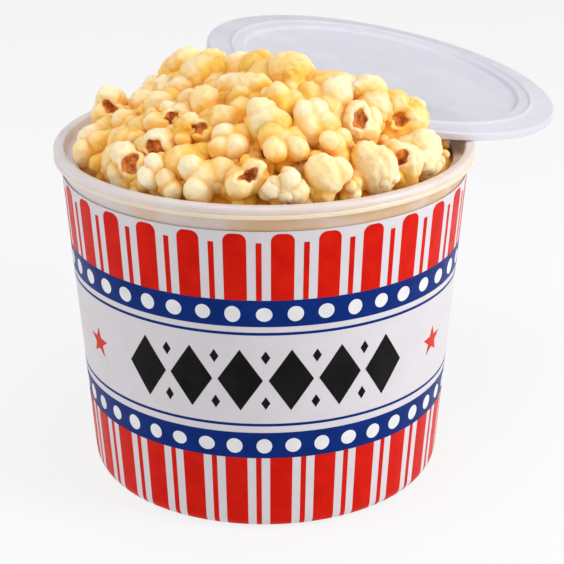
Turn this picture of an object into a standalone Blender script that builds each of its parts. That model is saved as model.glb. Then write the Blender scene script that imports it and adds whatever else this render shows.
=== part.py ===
"""A round tapered tub in a printed sleeve, heaped with popcorn, its lid laid askew on the heap and lip.

Lengths are in millimetres up to the point where a mesh is made, and metres in the mesh. +Z is up, -Y is the
front of the print, and the origin is the centre of the tub's flat underside.
"""

import math
import random

import bmesh
import bpy
import numpy as np
from mathutils import Matrix, Vector

MM = 0.001
GAP = 0.3
ROUND_STEPS = 44

# Tub
RIM_HEIGHT = 144.0
LIP_RADIUS = 88.0
LIP_INNER_RADIUS = 83.6
LIP_HEIGHT = 4.8
LIP_ROUNDING = 1.5
SKIRT_THICKNESS = 1.3
WALL_MID_RADIUS = 80.7
WALL_MID_HEIGHT = 82.7
WALL_SLOPE = 0.0698
WALL_THICKNESS = 1.5
FLOOR_THICKNESS = 2.0
CORNER_RADIUS = 6.0
LEDGE_RADIUS = 78.9
LEDGE_DEPTH = 5.0
LEDGE_THICKNESS = 1.4

# Printed sleeve
LABEL_TOP = 133.5
LABEL_BOTTOM = 1.6
LABEL_THICKNESS = 0.35

# Lid
LID_RADIUS = 80.0
LID_HEIGHT = 3.4
LID_THICKNESS = 1.3
LID_SKIRT_THICKNESS = 1.4
LID_RIDGE_RADIUS = 69.0
LID_RIDGE_WIDTH = 3.0
LID_RIDGE_HEIGHT = 0.9
LID_PANEL_RADIUS = 64.0
LID_PANEL_DROP = 1.6
LID_STEP_WIDTH = 2.0
LID_CENTRE = (52.5, 65.5)
LID_LOWER_ON_RIGHT = math.radians(10.7)
LID_RAISED_AT_BACK = math.radians(1.6)

# Heap
HEAP_RADIUS = 82.0
HEAP_RISE = 38.5
HEAP_ROUNDNESS = 2.6
HEAP_SHOULDER = 0.8
HEAP_LEFT_DROP = 0.5
HEAP_LEFT_POWER = 0.6
CORE_DEPTH = 10.5
CORE_STEPS = 30
CORE_RINGS = (0.18, 0.36, 0.54, 0.72, 0.88)
CORE_EDGE = 8.5
CORE_NARROWING = 1.1
SHELF_RISE = 25.0
SHELF_BACK_DROP = 7.0
LID_CLEARANCE = 6.0
LID_REACH = 8.0
CORE_LEAST = 26.0

# Kernels: spread evenly over the dome, and held inside the wall
KERNEL_COUNT = 96
KERNEL_RADIUS = (8.6, 13.2)
KERNEL_REACH = 72.0
KERNEL_SPREAD = 0.45
KERNEL_SINK = 0.78
KERNEL_LIFT = 1.4
KERNEL_EXTENT = 1.25
BEHIND = 0.25
EDGE_WIDTH = 1.0
LEDGE_CONE = 0.9
EDGE_FRONT_LEVEL = 5.0
EDGE_BACK_LEVEL = -1.5
EDGE_BACK_LEFT_DROP = 13.0
DROP_TURNS_FRONT = 0.6
EDGE_STEEPNESS = 1.6
EVEN_ROUNDS = 30
EVEN_SPACING = 19.4
EVEN_STEP = 0.12
LID_NEAR_EDGE = 0.9
LID_HIDES = 0.6
PERCHED_KERNEL = (-63.5, 0.0, 12.3)
PERCHED_RADIUS = 10.2
LOBE_COUNT = (4, 7)
LOBE_RADIUS = (0.40, 0.60)
CAP_SHARE = 0.5
CAP_RADIUS = (0.68, 0.78)
CAP_LEAN = 0.7
OUTWARD_RISE = 45.0
LOBE_BODY = 0.62
LOBE_BLEND = 0.05
STRETCH = (0.86, 1.12)
GOLDEN_ANGLE = math.pi * (3 - math.sqrt(5))
SEED = 41

COLOURS = {
    "bucket": ((0.80, 0.79, 0.83), 0.30),
    "label": ((0.72, 0.10, 0.06), 0.35),
    "popcorn": ((0.93, 0.79, 0.45), 0.65),
    "lid": ((0.78, 0.77, 0.83), 0.30),
}


def wall_radius(height):
    """Outer radius of the tub's tapered wall."""
    return WALL_MID_RADIUS + WALL_SLOPE * (height - WALL_MID_HEIGHT)


def arc(centre, radius, start, end, steps):
    """Points (radius, height) along an arc, with angles in degrees from the outward direction."""
    angles = np.radians(np.linspace(start, end, steps + 1))
    return [(centre[0] + radius * math.cos(a), centre[1] + radius * math.sin(a)) for a in angles]


def corner(offset, steps, start=-90.0):
    """The rounded bottom corner, moved outward by offset."""
    lean = math.degrees(math.atan(WALL_SLOPE))
    centre = (wall_radius(CORNER_RADIUS) - CORNER_RADIUS / math.cos(math.radians(lean)), CORNER_RADIUS)
    return arc(centre, CORNER_RADIUS + offset, start, -lean, steps)


def turned(name, profile):
    """A solid of revolution from a closed outline of (radius, height) points."""
    bm = bmesh.new()
    points = [bm.verts.new((radius * MM, 0, height * MM)) for radius, height in profile]
    on_axis = profile[0][0] == 0 and profile[-1][0] == 0
    ends = points[1:] if on_axis else points[1:] + points[:1]
    edges = [bm.edges.new(pair) for pair in zip(points, ends)]
    bmesh.ops.spin(
        bm, geom=points + edges, axis=(0, 0, 1), cent=(0, 0, 0), angle=2 * math.pi, steps=ROUND_STEPS,
        use_merge=True,
    )
    bmesh.ops.remove_doubles(bm, verts=bm.verts, dist=0.01 * MM)
    bmesh.ops.recalc_face_normals(bm, faces=bm.faces)
    return finished(name, bm)


def finished(name, bm):
    """An object with its own material from a bmesh, smooth on its round faces."""
    bmesh.ops.triangulate(bm, faces=bm.faces)
    mesh = bpy.data.meshes.new(name)
    bm.to_mesh(mesh)
    bm.free()
    mesh.shade_smooth()
    mesh.set_sharp_from_angle(angle=math.radians(40))
    obj = bpy.data.objects.new(name, mesh)
    bpy.context.scene.collection.objects.link(obj)
    material = bpy.data.materials.new(name)
    material.use_nodes = True
    shader = material.node_tree.nodes["Principled BSDF"]
    colour, roughness = COLOURS[name]
    shader.inputs["Base Color"].default_value = (*colour, 1)
    shader.inputs["Roughness"].default_value = roughness
    shader.inputs["Metallic"].default_value = 0
    mesh.materials.append(material)
    return obj


def make_bucket():
    """The tub: flat floor, tapered wall, a hooked lip and a ledge inside it for the lid."""
    lip_bottom = RIM_HEIGHT - LIP_HEIGHT
    skirt_inner = LIP_RADIUS - SKIRT_THICKNESS
    groove_top = lip_bottom + SKIRT_THICKNESS
    ledge_height = RIM_HEIGHT - LEDGE_DEPTH
    below_ledge = ledge_height - LEDGE_THICKNESS
    inner_floor_radius = wall_radius(CORNER_RADIUS) - CORNER_RADIUS
    outer = [(0, 0)] + corner(0, 3)
    outer += [(wall_radius(groove_top), groove_top), (skirt_inner, groove_top), (skirt_inner, lip_bottom)]
    outer += [(LIP_RADIUS, lip_bottom)]
    crown = (LIP_RADIUS - LIP_ROUNDING, RIM_HEIGHT - LIP_ROUNDING)
    lip = arc(crown, LIP_ROUNDING, 0, 90, 2) + [(LIP_INNER_RADIUS + LIP_ROUNDING / 2, RIM_HEIGHT)]
    inner = [(LIP_INNER_RADIUS, RIM_HEIGHT - LIP_ROUNDING / 2), (LIP_INNER_RADIUS - 0.8, ledge_height)]
    inner += [(LEDGE_RADIUS, ledge_height), (LEDGE_RADIUS, below_ledge)]
    inner += [(inner_wall_radius(below_ledge - LEDGE_THICKNESS), below_ledge - LEDGE_THICKNESS)]
    inner += [(inner_wall_radius(CORNER_RADIUS), CORNER_RADIUS)]
    inner += [(inner_floor_radius, FLOOR_THICKNESS), (0, FLOOR_THICKNESS)]
    return turned("bucket", outer + lip + inner)


def inner_wall_radius(height):
    return wall_radius(height) - WALL_THICKNESS


def make_label():
    """The printed sleeve, which follows the wall and the rounded corner down to just above the floor."""
    def side(offset, steps):
        centre_height = CORNER_RADIUS
        start = -math.degrees(math.asin((centre_height - LABEL_BOTTOM) / (CORNER_RADIUS + offset)))
        return corner(offset, steps, start) + [(wall_radius(LABEL_TOP) + offset, LABEL_TOP)]

    outer = side(GAP + LABEL_THICKNESS, 2)
    inner = side(GAP, 2)
    return turned("label", outer + inner[::-1])


def lid_pose():
    """The matrix that lays the lid's lower edge on the lip's crown, a small gap above it."""
    across = Vector((math.cos(LID_LOWER_ON_RIGHT), 0, -math.sin(LID_LOWER_ON_RIGHT)))
    back = Vector((0, math.cos(LID_RAISED_AT_BACK), math.sin(LID_RAISED_AT_BACK)))
    back = (back - across * back.dot(across)).normalized()
    up = across.cross(back)
    height = 0.0
    crown = (LIP_RADIUS + LIP_INNER_RADIUS) / 2
    for radius in (LIP_INNER_RADIUS, crown, LIP_RADIUS - LIP_ROUNDING):
        for step in range(360):
            angle = math.radians(step)
            x = radius * math.cos(angle) - LID_CENTRE[0]
            y = radius * math.sin(angle) - LID_CENTRE[1]
            if x * x + y * y < (LID_RADIUS + 1) ** 2:
                height = max(height, RIM_HEIGHT + GAP + (up.x * x + up.y * y) / up.z)
    place = Vector((*LID_CENTRE, height))
    return Matrix.Translation(place) @ Matrix((across, back, up)).transposed().to_4x4()


def make_lid(pose):
    """The lid: a short skirt, a flange with a raised ridge, and a sunken flat panel."""
    top = LID_HEIGHT
    under = top - LID_THICKNESS
    inside = LID_RADIUS - LID_SKIRT_THICKNESS
    ridge_out = LID_RIDGE_RADIUS + LID_RIDGE_WIDTH / 2
    ridge_in = LID_RIDGE_RADIUS - LID_RIDGE_WIDTH / 2
    panel = LID_PANEL_RADIUS - LID_STEP_WIDTH
    profile = [(0, under - LID_PANEL_DROP), (panel, under - LID_PANEL_DROP), (LID_PANEL_RADIUS, under)]
    profile += [(inside, under), (inside, 0), (LID_RADIUS, 0)]
    profile += arc((LID_RADIUS - 1, top - 1), 1, 0, 90, 2)
    profile += [(ridge_out, top), (LID_RIDGE_RADIUS, top + LID_RIDGE_HEIGHT), (ridge_in, top)]
    profile += [(LID_PANEL_RADIUS, top), (panel, top - LID_PANEL_DROP), (0, top - LID_PANEL_DROP)]
    lid = turned("lid", profile)
    lid.matrix_world = Matrix.Translation(pose.translation * MM) @ pose.to_3x3().to_4x4()
    return lid


def below_lid(x, y, pose, reach):
    """Height of the lid's lower edge plane above (x, y), or infinity beyond the lid and its reach."""
    place = pose.translation
    up = pose.col[2]
    dx, dy = x - place.x, y - place.y
    if dx * dx + dy * dy > (LID_RADIUS + reach) ** 2:
        return math.inf
    return place.z - (up.x * dx + up.y * dy) / up.z


def heap_top(x, y):
    """Height of the heap's outer surface: a steep-sided dome, lower on the left and at the edge."""
    share = min(1.0, math.hypot(x, y) / HEAP_RADIUS)
    rise = HEAP_RISE * (1 - share**HEAP_ROUNDNESS) ** HEAP_SHOULDER
    rise *= 1 - HEAP_LEFT_DROP * (max(0.0, -x) / HEAP_RADIUS) ** HEAP_LEFT_POWER
    return RIM_HEIGHT + rise


def back_left_drop(x, y):
    """How much lower the heap's edge lies at the left and back left, where the tub's inside shows."""
    radius = max(1.0, math.hypot(x, y))
    return EDGE_BACK_LEFT_DROP * max(0.0, -x / radius) * max(0.0, DROP_TURNS_FRONT + y / radius)


def core_top(x, y, pose):
    """Height of the core under the kernels: a narrower dome on a shelf that carries the edge kernels."""
    radius = math.hypot(x, y)
    dome = heap_top(x * CORE_NARROWING, y * CORE_NARROWING) - CORE_DEPTH
    shelf = RIM_HEIGHT - CORE_EDGE + SHELF_RISE * (1 - (radius / LEDGE_RADIUS) ** 4)
    shelf -= SHELF_BACK_DROP * max(0.0, y) / max(radius, 1.0)
    drop = back_left_drop(x, y) * (radius / LEDGE_RADIUS) ** 2
    low = below_lid(x, y, pose, LID_REACH) - LID_CLEARANCE
    return max(min(max(dome, shelf) - drop, low), RIM_HEIGHT - CORE_LEAST)


def clear_of_lid(place, radius, pose):
    """A kernel's place, moved clear of the lid's edge or lowered under it, or None where it is hidden."""
    extent = radius * KERNEL_EXTENT + 2 * GAP
    lid = pose.translation.xy
    away = place.xy - lid
    if away.length > LID_RADIUS + extent:
        return place
    if away.length < LID_HIDES * LID_RADIUS:
        return None
    beyond = lid + away.normalized() * (LID_RADIUS + extent)
    near_edge = away.length > LID_NEAR_EDGE * LID_RADIUS and place.z > pose.translation.z
    if near_edge and beyond.length < LEDGE_RADIUS - extent:
        return Vector((*beyond, place.z))
    flat = place.xy * min(1.0, (LEDGE_RADIUS - extent) / place.xy.length)
    outside = max(0.0, (flat - lid).length - LID_RADIUS)
    under_edge = math.sqrt(max(0.0, extent * extent - outside * outside))
    return Vector((*flat, min(place.z, below_lid(*flat, pose, 2 * extent) - under_edge)))


def wall_limit(place, radius):
    """How far from the axis a kernel may lie: inside the lip in front, and inside the ledge behind."""
    behind = place.y > BEHIND * place.length
    return (LEDGE_RADIUS if behind else LIP_INNER_RADIUS) - 2 * GAP - radius * KERNEL_EXTENT


def spread_out(places, radii):
    """Moves the places apart along the heap's surface, so that they cover it evenly."""
    for _ in range(EVEN_ROUNDS):
        spots = [Vector((*place, heap_top(*place))) for place in places]
        for index, spot in enumerate(spots):
            push = Vector((0, 0))
            for near in spots[:index] + spots[index + 1:]:
                away = spot - near
                if away.length < EVEN_SPACING:
                    push += away.xy * (EVEN_SPACING / away.length - 1)
            place = places[index] + push * EVEN_STEP
            places[index] = place * min(1.0, wall_limit(place, radii[index]) / place.length)


def kernels(pose):
    """Centre, mean radius and seed of each kernel that shows, and whether it lies against the wall."""
    draw = random.Random(SEED)
    places, radii, lifts = [], [], []
    for index in range(KERNEL_COUNT):
        angle = index * GOLDEN_ANGLE
        along = KERNEL_REACH * ((index + 0.5) / KERNEL_COUNT) ** KERNEL_SPREAD
        places.append(Vector((math.cos(angle), math.sin(angle))) * along)
        radii.append(draw.uniform(*KERNEL_RADIUS))
        lifts.append(draw.uniform(-KERNEL_LIFT, KERNEL_LIFT))
    spread_out(places, radii)
    found = []
    for index, (flat, radius) in enumerate(zip(places, radii)):
        behind = max(0.0, flat.y) / flat.length
        level = EDGE_FRONT_LEVEL + behind * (EDGE_BACK_LEVEL - EDGE_FRONT_LEVEL)
        level -= back_left_drop(flat.x, flat.y)
        slope = level + EDGE_STEEPNESS * (wall_limit(flat, radius) - flat.length)
        rise = min(heap_top(flat.x, flat.y) - RIM_HEIGHT - KERNEL_SINK * radius, slope)
        start = Vector((*flat, RIM_HEIGHT + rise + lifts[index]))
        place = clear_of_lid(start, radius, pose)
        if place:
            at_wall = place == start and flat.length > wall_limit(flat, radius) - EDGE_WIDTH
            found.append((place, radius, SEED * 1000 + index, at_wall))
    perched = Vector(PERCHED_KERNEL) + Vector((0, 0, RIM_HEIGHT))
    found.append((perched, PERCHED_RADIUS, SEED * 1000 + KERNEL_COUNT, False))
    return found


def lobes(seed, place):
    """Centres and radii of the lobes of one popped kernel of mean radius 1, and its stretch and turn.

    The turn brings the first lobe, which is the cap of a capped kernel, to the heap's outside.
    """
    draw = random.Random(seed)
    capped = draw.random() < CAP_SHARE
    count = draw.randint(*LOBE_COUNT)
    parts = [(Vector((0, 0, 0)), LOBE_BODY)]
    for index in range(count):
        rise = 1 - 2 * (index + 0.5) / count
        spread = math.sqrt(1 - rise * rise)
        angle = index * GOLDEN_ANGLE + draw.uniform(-0.5, 0.5)
        size = draw.uniform(*(CAP_RADIUS if capped and index == 0 else LOBE_RADIUS))
        away = Vector((spread * math.cos(angle), spread * math.sin(angle), rise + draw.uniform(-0.2, 0.2)))
        parts.append((away.normalized() * (1.06 - size), size))
    stretch = Vector(draw.uniform(*STRETCH) for _ in range(3))
    lean = Vector(draw.uniform(-CAP_LEAN, CAP_LEAN) for _ in range(3))
    facing = Vector((place.x, place.y, OUTWARD_RISE)).normalized() + lean
    spin = Matrix.Rotation(draw.uniform(0, 2 * math.pi), 3, "Z")
    return parts, stretch, facing.to_track_quat("Z", "Y").to_matrix() @ spin


def lobe_reach(direction, parts):
    """How far the lobes' blended surface lies from the centre in a direction."""
    total = 0.0
    for centre, size in parts:
        along = direction.dot(centre)
        inside = size * size - centre.length_squared + along * along
        if inside > 0:
            total += math.exp((along + math.sqrt(inside)) / LOBE_BLEND)
    return LOBE_BLEND * math.log(total)


def wall_room(point):
    """How far a point of a kernel lies from the lip or, lower down, from a cone through the ledge's edge."""
    above_ledge = point.z - (RIM_HEIGHT - LEDGE_DEPTH)
    return min(LIP_INNER_RADIUS, LEDGE_RADIUS + LEDGE_CONE * above_ledge) - point.xy.length


def add_kernel(collection, centre, radius, seed, at_wall):
    """One popped kernel with few faces, for the union, moved out to the wall if it lies against it."""
    parts, stretch, turn = lobes(seed, centre)
    bm = bmesh.new()
    bmesh.ops.create_icosphere(bm, subdivisions=2, radius=1)
    for vert in bm.verts:
        direction = vert.co.normalized()
        vert.co = turn @ (direction * lobe_reach(direction, parts) * stretch) * radius + centre
    if at_wall:
        shift = min(wall_room(vert.co) for vert in bm.verts) - 2 * GAP
        bmesh.ops.translate(bm, verts=bm.verts, vec=(*(centre.xy.normalized() * shift), 0))
    bmesh.ops.scale(bm, verts=bm.verts, vec=(MM, MM, MM))
    mesh = bpy.data.meshes.new("kernel")
    bm.to_mesh(mesh)
    bm.free()
    obj = bpy.data.objects.new("kernel", mesh)
    collection.objects.link(obj)


def core(pose):
    """The solid under the kernels, from the tub's floor up, as rings joined by quads."""
    bm = bmesh.new()
    edge = LEDGE_RADIUS - 2 * GAP
    below_ledge = RIM_HEIGHT - LEDGE_DEPTH - 3 * LEDGE_THICKNESS
    outline = [(inner_wall_radius(CORNER_RADIUS) - CORNER_RADIUS, FLOOR_THICKNESS + GAP)]
    outline += [(inner_wall_radius(height) - 2 * GAP, height) for height in (CORNER_RADIUS, below_ledge - 2)]
    outline += [(edge, RIM_HEIGHT - CORE_EDGE)]
    rings = [ring(bm, radius, lambda x, y, height=height: height) for radius, height in outline]
    for share in CORE_RINGS[::-1]:
        rings.append(ring(bm, share * edge, lambda x, y: core_top(x, y, pose)))
    for low, high in zip(rings, rings[1:]):
        for step in range(CORE_STEPS):
            after = (step + 1) % CORE_STEPS
            bm.faces.new((low[step], low[after], high[after], high[step]))
    for end in (rings[0], rings[-1]):
        centre = bm.verts.new(sum((vert.co for vert in end), Vector()) / CORE_STEPS)
        for step in range(CORE_STEPS):
            bm.faces.new((end[step], end[(step + 1) % CORE_STEPS], centre))
    bmesh.ops.recalc_face_normals(bm, faces=bm.faces)
    return bm


def ring(bm, radius, height_at):
    """One ring of vertices round the axis, at the heights that height_at gives."""
    made = []
    for step in range(CORE_STEPS):
        angle = 2 * math.pi * step / CORE_STEPS
        x, y = radius * math.cos(angle), radius * math.sin(angle)
        made.append(bm.verts.new((x * MM, y * MM, height_at(x, y) * MM)))
    return made


def largest_piece(bm):
    """Drops every shell but the largest: loose scraps and the skins of sealed hollows."""
    left = set(bm.verts)
    shells = []
    while left:
        shell, edge = set(), [left.pop()]
        while edge:
            vert = edge.pop()
            shell.add(vert)
            for link in vert.link_edges:
                other = link.other_vert(vert)
                if other in left:
                    left.remove(other)
                    edge.append(other)
        shells.append(shell)
    shells.sort(key=len)
    bmesh.ops.delete(bm, geom=[vert for shell in shells[:-1] for vert in shell], context="VERTS")


def make_popcorn(pose):
    """The heap in one solid: the core with a kernel fused on at each place."""
    heap = finished("popcorn", core(pose))
    collection = bpy.data.collections.new("kernels")
    bpy.context.scene.collection.children.link(collection)
    for kernel in kernels(pose):
        add_kernel(collection, *kernel)
    union = heap.modifiers.new("kernels", "BOOLEAN")
    union.operation = "UNION"
    union.operand_type = "COLLECTION"
    union.collection = collection
    union.solver = "MANIFOLD"
    bpy.context.view_layer.update()
    evaluated = heap.evaluated_get(bpy.context.evaluated_depsgraph_get())
    bm = bmesh.new()
    bm.from_mesh(evaluated.to_mesh())
    evaluated.to_mesh_clear()
    heap.modifiers.clear()
    for obj in list(collection.objects):
        bpy.data.objects.remove(obj)
    bpy.data.collections.remove(collection)
    largest_piece(bm)
    bmesh.ops.triangulate(bm, faces=bm.faces)
    bm.to_mesh(heap.data)
    bm.free()
    return heap


def main():
    for obj in list(bpy.data.objects):
        bpy.data.objects.remove(obj)
    pose = lid_pose()
    make_bucket()
    make_label()
    make_lid(pose)
    heap = make_popcorn(pose)
    for obj in bpy.data.objects:
        print(obj.name, len(obj.data.polygons), "faces")


main()
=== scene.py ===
"""Looks of the bucket of popcorn: the milky tub and lid, the printed sleeve and the heap of popped kernels.

Lengths are in millimetres up to the point where a mesh is made, and metres in the mesh. +Z is up, -Y is the
front of the print, and the origin is the centre of the tub's flat underside.
"""

import math
import random

import bmesh
import bpy
import numpy as np
from mathutils import Matrix, Vector


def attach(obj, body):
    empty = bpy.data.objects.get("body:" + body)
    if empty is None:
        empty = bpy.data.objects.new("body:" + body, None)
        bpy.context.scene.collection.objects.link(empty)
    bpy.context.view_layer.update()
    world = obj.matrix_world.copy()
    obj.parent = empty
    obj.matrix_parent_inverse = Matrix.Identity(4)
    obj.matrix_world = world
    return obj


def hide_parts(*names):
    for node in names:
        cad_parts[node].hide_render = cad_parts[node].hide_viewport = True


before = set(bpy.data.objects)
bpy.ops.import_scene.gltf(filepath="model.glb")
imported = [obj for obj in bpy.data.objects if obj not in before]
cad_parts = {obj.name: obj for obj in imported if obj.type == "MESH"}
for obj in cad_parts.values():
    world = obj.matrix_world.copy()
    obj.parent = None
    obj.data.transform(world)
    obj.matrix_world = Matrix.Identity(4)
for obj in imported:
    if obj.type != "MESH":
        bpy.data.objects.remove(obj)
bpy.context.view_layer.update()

MM = 0.001
GAP = 0.3
ROUND_STEPS = 192

# Tub, as in the solid
RIM_HEIGHT = 144.0
LIP_RADIUS = 88.0
LIP_INNER_RADIUS = 83.6
LIP_HEIGHT = 4.8
LIP_ROUNDING = 1.5
LIP_GROOVE_DEPTH = 0.35
LIP_GROOVE_DROP = 2.9
GROOVE_HALF_WIDTH = 0.5
LIP_STEP = 0.05
LIP_INNER_ROUNDING = 0.8
SKIRT_THICKNESS = 1.3
SKIRT_ROUNDING = 0.4
SKIRT_BEVEL = 0.3
FLARE = 0.5
FLARE_HEIGHT = 0.6
WALL_MID_RADIUS = 80.7
WALL_MID_HEIGHT = 82.7
WALL_SLOPE = 0.0698
WALL_THICKNESS = 1.5
FLOOR_THICKNESS = 2.0
CORNER_RADIUS = 6.0
LEDGE_RADIUS = 78.9
LEDGE_DEPTH = 5.0
LEDGE_THICKNESS = 1.4
LEDGE_ROUNDING = 0.6
LIP_FOOT = (1.2, 0.75)
LIP_FOOT_HEIGHT = 0.5

# Printed sleeve
LABEL_TOP = 133.5
LABEL_BOTTOM = 1.6
LABEL_THICKNESS = 0.35
PRINT_LIFT = 0.05
BAND_LIFT = 0.06
DOT_LIFT = 0.09
PRINT_DEPTH = 0.06

# Print: heights up the tub, and widths round it in degrees; of two stripes, the wide one comes first
UPPER_PITCHES = 29
LOWER_PITCHES = 27
PITCH_OFFSET = 4.5
UPPER_STRIPES = (6.1, 1.5)
LOWER_STRIPES = (6.6, 1.6)
UPPER_STRIPE_TOP = 132.6
NARROW_DROP = 3.7
UPPER_CORNERS = (3.2, 0.3)
LOWER_CORNERS = (0.05, 0.05)
STRIPE_COLUMNS = 16
STRIPE_ROWS = (0, 0.02, 0.04, 0.06, 0.09, 0.12, 0.16, 0.3, 0.6, 1)
UNDER_BAND = 0.2
ABOVE_HEM = 0.1
UPPER_BAND = (93.5, 104.8)
LOWER_BAND = (34.3, 46.1)
UPPER_LINE = 90.4
LOWER_LINE = 49.7
LINE_WIDTH = 1.2
UPPER_DOTS = (43, -0.3)
LOWER_DOTS = (42, -0.6)
DOT_RADIUS = 3.2
DOT_SIZES = (0.93, 1.04)
DOT_SQUASH = (0.95, 1.05)
DOT_SHIFT = 0.2
DOT_DROP = 0.2
DOT_STEPS = 28
STAR_ANGLE = 58.2
STAR_RADIUS = 6.9
STAR_WAIST = 0.42
STAR_TILT = 0.06
PANEL_MIDDLE = 69.8
LOZENGE_ANGLES = (-35.8, -21.5, -7.2, 7.2, 21.5, 35.8)
LOZENGE_HALF = (6.4, 13.6)
PIP_HALF = (1.3, 2.9)
PIP_RISE = 10.2

# Lid, as in the solid
LID_RADIUS = 80.0
LID_HEIGHT = 3.4
LID_THICKNESS = 1.3
LID_SKIRT_THICKNESS = 1.4
LID_SKIRT_ROUNDING = 0.3
LID_SKIRT_BEVEL = 0.2
LID_ROUNDING = 1.0
LID_RIDGE_RADIUS = 69.0
LID_RIDGE_WIDTH = 3.0
LID_RIDGE_HEIGHT = 0.9
LID_RIDGE_STEPS = 12
LID_PANEL_RADIUS = 64.0
LID_PANEL_DROP = 1.6
LID_STEP_WIDTH = 2.0
LID_PANEL_STEPS = 8
LID_CENTRE = (52.5, 65.5)
LID_LOWER_ON_RIGHT = math.radians(10.7)
LID_RAISED_AT_BACK = math.radians(1.6)

# Heap, as in the solid
HEAP_RADIUS = 82.0
HEAP_RISE = 38.5
HEAP_ROUNDNESS = 2.6
HEAP_SHOULDER = 0.8
HEAP_LEFT_DROP = 0.5
HEAP_LEFT_POWER = 0.6
CORE_DEPTH = 10.5
CORE_STEPS = 120
CORE_RINGS = 36
CORE_EDGE = 8.5
CORE_NARROWING = 1.1
CORE_LUMPS = 0.6
# Tone of the core: orange and buttery painted shade, as corn deep in the heap
CORE_SHADE_TONE = (0.45, 1.0, 0.0, 1.0)
SHELF_RISE = 25.0
SHELF_BACK_DROP = 7.0
LID_CLEARANCE = 6.0
LID_REACH = 8.0
CORE_LEAST = 26.0
KERNEL_COUNT = 96
KERNEL_RADIUS = (8.6, 13.2)
KERNEL_REACH = 72.0
KERNEL_SPREAD = 0.45
KERNEL_SINK = 0.78
KERNEL_LIFT = 1.4
KERNEL_EXTENT = 1.25
BEHIND = 0.25
EDGE_WIDTH = 1.0
LEDGE_CONE = 0.9
EDGE_FRONT_LEVEL = 5.0
EDGE_BACK_LEVEL = -1.5
EDGE_BACK_LEFT_DROP = 13.0
DROP_TURNS_FRONT = 0.6
EDGE_STEEPNESS = 1.6
EVEN_ROUNDS = 30
EVEN_SPACING = 19.4
EVEN_STEP = 0.12
LID_NEAR_EDGE = 0.9
LID_HIDES = 0.6
PERCHED_KERNEL = (-63.5, 0.0, 12.3)
PERCHED_RADIUS = 10.2
LOBE_COUNT = (4, 7)
LOBE_RADIUS = (0.40, 0.60)
CAP_SHARE = 0.5
CAP_RADIUS = (0.68, 0.78)
CAP_LEAN = 0.7
OUTWARD_RISE = 45.0
LOBE_BODY = 0.62
LOBE_END = 1.06
LOBE_TURN = 0.5
LOBE_SHIFT = 0.2
STRETCH = (0.86, 1.12)
GOLDEN_ANGLE = math.pi * (3 - math.sqrt(5))
SEED = 41

# Finer form of the kernels, and the small ones in the gaps between them
FINE_BLEND = 0.05
WARP = 0.05
WARP_WAVES = 3.1
RIPPLE = 0.008
RIPPLE_WAVES = (1.3, 0.9)
BUD_COUNT = (0, 3)
BUD_RADIUS = (0.40, 0.62)
BUD_SINK = 0.82
SMALL_COUNT = 150
SMALL_RADIUS = (4.4, 7.4)
SMALL_REACH = 76.0
SMALL_SPACING = 13.5
SMALL_LIFT = 0.5
SIDE_KERNELS = ((74.0, -17.0, -3.6, 5.6), (73.5, -8.5, -5.6, 5.2))
LEAST_SPOTS = 1100
LEAST_RADIUS = (3.4, 5.0)
LEAST_LIFT = 0.3
LEAST_EDGE = 0.9
LEAST_FROM_OTHERS = 0.6
LEAST_FROM_OWN = 0.35
KINDS = 3

# Brown hull in a pit: its half length and depth in kernel radii, and its width as a share of its length
HULL_REACH = 0.46
HULL_DEPTH = 0.3
HULL_NARROWING = 0.72
HULL_RAGGED = 0.22

# Where the hull, the pit and the lip round it end, in half widths of the pit, and over what width each fades
HULL_EDGE = (1.35, 0.7)
PIT_EDGE = (1.2, 0.6)
PIT_LIP = (1.4, 0.22)
PIT_LIP_HEIGHT = 0.07
OUTSIDE_PIT = 9.0
HULL_TILT = 0.25
HULL_RAISED = 0.2
BACK_HULLS = 4
BACK_HULL_START = 8.0
BACK_HULL_RISE = 30.0

# Tone of the corn: how much painted shade in creases, where kernels meet and deep down makes it orange or
# buttery
CREASE_ROUNDS = 26
CREASE_DEPTH = 0.07
KERNELS_NEAR = 45.0
FAR = 99.0
MEETING_RADIUS = 0.95
MEETING_OVERLAP = 0.5
MEETING_WIDTH = 4.5
DEEP_START = 7.0
DEEP_RANGE = 9.0
DEEP_POWER = 1.5
ORANGE_OF = (0.3, 0.7, 0.75)
SHALLOW_MEETING = 0.3
BUTTER_SHADE_OF = (0.4, 0.6, 0.5)
OWN_BUTTER = 0.5

# Camera, and the brown spots of the heap's front in its picture
CAMERA_PLACE = Vector((0.0, -0.6456, 0.3436))
CAMERA_PITCH = 0.3896
CAMERA_YAW = 0.0112
FOCAL_PIXELS = 1605.5
IMAGE_PIXELS = 564
SENSOR_WIDTH = 36.0
COVER_SHARE = 0.85
HULL_PIXELS = (
    (112, 112), (80, 147), (163, 147), (203, 70), (217, 103), (255, 168), (299, 60), (375, 103), (376, 142),
    (397, 105),
)

# Heights below the rim between which the corn's tan is painted on the lip as if seen through it, and places
# across
CORN_TAN_DROPS = (1.2, 6.5)
CORN_TAN_ACROSS = (-80.0, -20.0)

# Stage
FLOOR_HALF = 6.0
FLOOR_DROP = 0.0002
FLOOR_GLOW = 0.79
WORLD_STRENGTH = 0.57
KEY_POWER = 7.8
FILL_POWER = 2.1
TOP_POWER = 2.5

# Ranges of a noise that are stretched to the full range of a mix or a roughness
NOISE_MIDDLE = (0.35, 0.65)
NOISE_WIDE = (0.3, 0.7)


def linear(red, green, blue):
    """Linear colour from the values from 0 to 255 that a screen shows."""
    shares = [value / 255 for value in (red, green, blue)]
    return (*(s / 12.92 if s <= 0.04045 else ((s + 0.055) / 1.055) ** 2.4 for s in shares), 1.0)


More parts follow.
